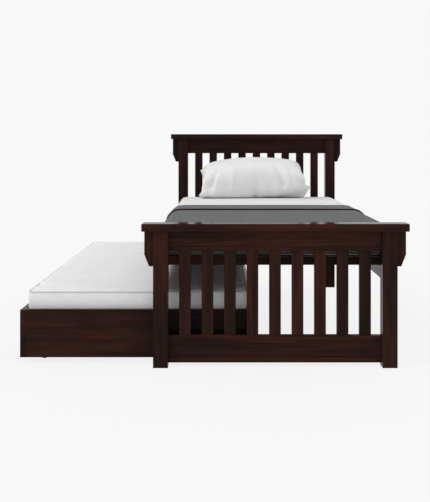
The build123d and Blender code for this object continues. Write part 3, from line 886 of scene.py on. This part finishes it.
def sewn_case():
    """Two flat cuts sewn together at their edges, a little apart inside them."""
    nx, ny = PILLOW_GRID
    width, depth = PILLOW_CUT
    verts = []
    index = {}
    for face in (1, -1):
        for i in range(nx + 1):
            for j in range(ny + 1):
                rim = i in (0, nx) or j in (0, ny)
                if rim and face < 0:
                    index[i, j, face] = index[i, j, 1]
                    continue
                u, v = 2 * i / nx - 1, 2 * j / ny - 1
                index[i, j, face] = len(verts)
                spot = Vector((u * width / 2, v * depth / 2, 0.0))
                pucker = PILLOW_PUCKER * noise.noise(spot * 14.0 + Vector((0, 0, 3.0 * face)))
                apart = PILLOW_START[0] + PILLOW_START[1] * (1 - u ** 4) * (1 - v ** 4)
                verts.append((spot.x, spot.y, 0.0 if rim else face * apart + pucker))
    faces = []
    for i in range(nx):
        for j in range(ny):
            ring = [(i, j), (i + 1, j), (i + 1, j + 1), (i, j + 1)]
            faces.append(tuple(index[a, b, 1] for a, b in ring))
            faces.append(tuple(index[a, b, -1] for a, b in reversed(ring)))
    return link_mesh("pillow_case", verts, faces)


def filled_case(case, cut, shares, inside):
    """Where the case's points go when it is blown up, smoothed, filled to its thickness and creased."""
    points = inflate(case, frames=40, pressure=5.0, pinned=[], slack=0.0, bending=0.5)
    points = eased(case, points, 0.5 * inside, PILLOW_EASE)
    points = points - (points.max(axis=0) + points.min(axis=0)) / 2
    cornered = between(np.abs(shares).prod(axis=1), 0.40, 0.80)
    height = np.abs(points[:, 2]) / np.abs(points[:, 2]).max()
    full = PILLOW_FULL + (1 - PILLOW_FULL) * cornered
    points[:, 2] = np.sign(points[:, 2]) * height ** full * PILLOW_THICK / 2
    set_points(case, points)
    normals = normals_of(case)
    for start, end, rise in PILLOW_FOLDS:
        share = fold_share(cut[:, :2], start, end) * (cut[:, 2] > 0)
        points += normals * (rise * share)[:, None]
    corner = between(shares.sum(axis=1), 1.2, 2.0) ** 2
    points[:, 0] -= PILLOW_DROOP[0] * corner
    points[:, 2] -= PILLOW_DROOP[1] * corner
    return points


def leaned(points, top, back):
    """The y and z of the points, tilted and pressed on the mattress's top and the headboard's face."""
    tilt = math.radians(PILLOW_TILT)
    y = points[:, 1] * math.cos(tilt) - points[:, 2] * math.sin(tilt)
    z = points[:, 1] * math.sin(tilt) + points[:, 2] * math.cos(tilt)
    z += points[:, 0] * math.tan(math.radians(PILLOW_ROLL))
    z += top - z.min() - PILLOW_PRESS[0]
    y += back - y.max() + PILLOW_PRESS[1]
    z = top + PILLOW_SOFT * np.logaddexp(0, (z - top) / PILLOW_SOFT)
    y = back - PILLOW_SOFT * np.logaddexp(0, (back - y) / PILLOW_SOFT)
    return y, z


def build_pillow(top, back, middle_x):
    """A filled pillow case that leans on the headboard, slumped, with its front seam on the mattress."""
    case = sewn_case()
    cut = points_of(case)
    shares = cut[:, :2] / (PILLOW_CUT[0] / 2, PILLOW_CUT[1] / 2)
    right, front = shares[:, 0], -shares[:, 1]
    inside = between(1 - np.abs(shares).max(axis=1), 0.0, 0.35)
    under = cut[:, 2] < 0
    points = filled_case(case, cut, shares, inside)
    y, z = leaned(points, top, back)
    rise = (z - top) / (z.max() - top)
    x = points[:, 0] - PILLOW_LEAN * np.clip(right, 0, 1) * rise
    # 27 / 4 makes the bulge 1 where it is greatest, two thirds of the way up
    y -= PILLOW_SLUMP * between(front, -0.4, 0.4) * 27 / 4 * rise ** 2 * (1 - rise)
    sag = between(front, 0.3, 0.7) * (1 - 0.6 * between(right, 0.7, 1.0))
    high = z - top - PILLOW_SAG * sag * np.exp(-((z - top) / 0.08) ** 2)
    z = top + SEAM_SOFT * np.logaddexp(0, high / SEAM_SOFT)
    z = top + (z - top) * (1 - inside * inside * (3 - 2 * inside) * under)
    tucked = between(-front, -1.0, -0.92) * between(front, 0.2, 0.7) * under
    y += PILLOW_TUCK * (0.4 + 0.6 * between(right, -0.15, 0.40)) * tucked
    z += PILLOW_LIFT * between(right, 0.35, 0.75) * np.exp(-((1 - front) / 0.10) ** 2)
    y = back - PILLOW_SQUEEZE * (back - y)
    set_points(case, np.stack([PILLOW_SPREAD * x + middle_x, y, z], axis=1))
    refine(case)
    finish_piece(case, "bed", pillow_cotton)
    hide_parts("pillow")


place_camera()
build_stage()
build_light()
dress_solids()

ticking = woven("ticking", TICKING, thread=0.0016, strength=0.25, wrinkle=0.8, nap=0.02)
sheet_cotton = woven("sheet_cotton", SHEET_WHITE, thread=0.0016, strength=0.25, wrinkle=0.8, nap=0.02)
# Its grey is partly painted shade along the seams
piping_cloth = woven("piping_cloth", PIPING_GREY_AND_SHADE, thread=0.0012, strength=0.3, wrinkle=0.4, nap=0.02)
blanket_wool = woven("blanket_wool", BLANKET_GREY, thread=0.0022, strength=0.5, wrinkle=0.8, nap=0.03)
pillow_cotton = woven("pillow_cotton", PILLOW_WHITE, thread=0.0010, strength=0.2, wrinkle=0.6, nap=0.02)


def bed_edge(y):
    return BED_EDGE - BED_EDGE_FALL * min(1.0, max(0.0, y / BED_EDGE_RUN))


def trundle_edge(y):
    return TRUNDLE_EDGE


bed_slab = Slab("mattress", BED_CORNER, bed_edge, BED_SWELL, BED_SWELL_LOW)
trundle_slab = Slab("trundle_mattress", TRUNDLE_CORNER, trundle_edge, TRUNDLE_SWELL, TRUNDLE_SWELL_LOW)
bed_cover = build_mattress("mattress_cover", "mattress", "bed", bed_slab, BED_CAPS, sheet_cotton)
build_mattress(
    "trundle_mattress_cover", "trundle_mattress", "trundle", trundle_slab, TRUNDLE_CAPS, ticking
)
build_blanket(bed_slab, bed_cover)
pillow_low, pillow_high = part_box("pillow")
build_pillow(bed_slab.top + PILLOW_CLEAR, pillow_high[1], (pillow_low[0] + pillow_high[0]) / 2)

scene.view_settings.view_transform = "Standard"
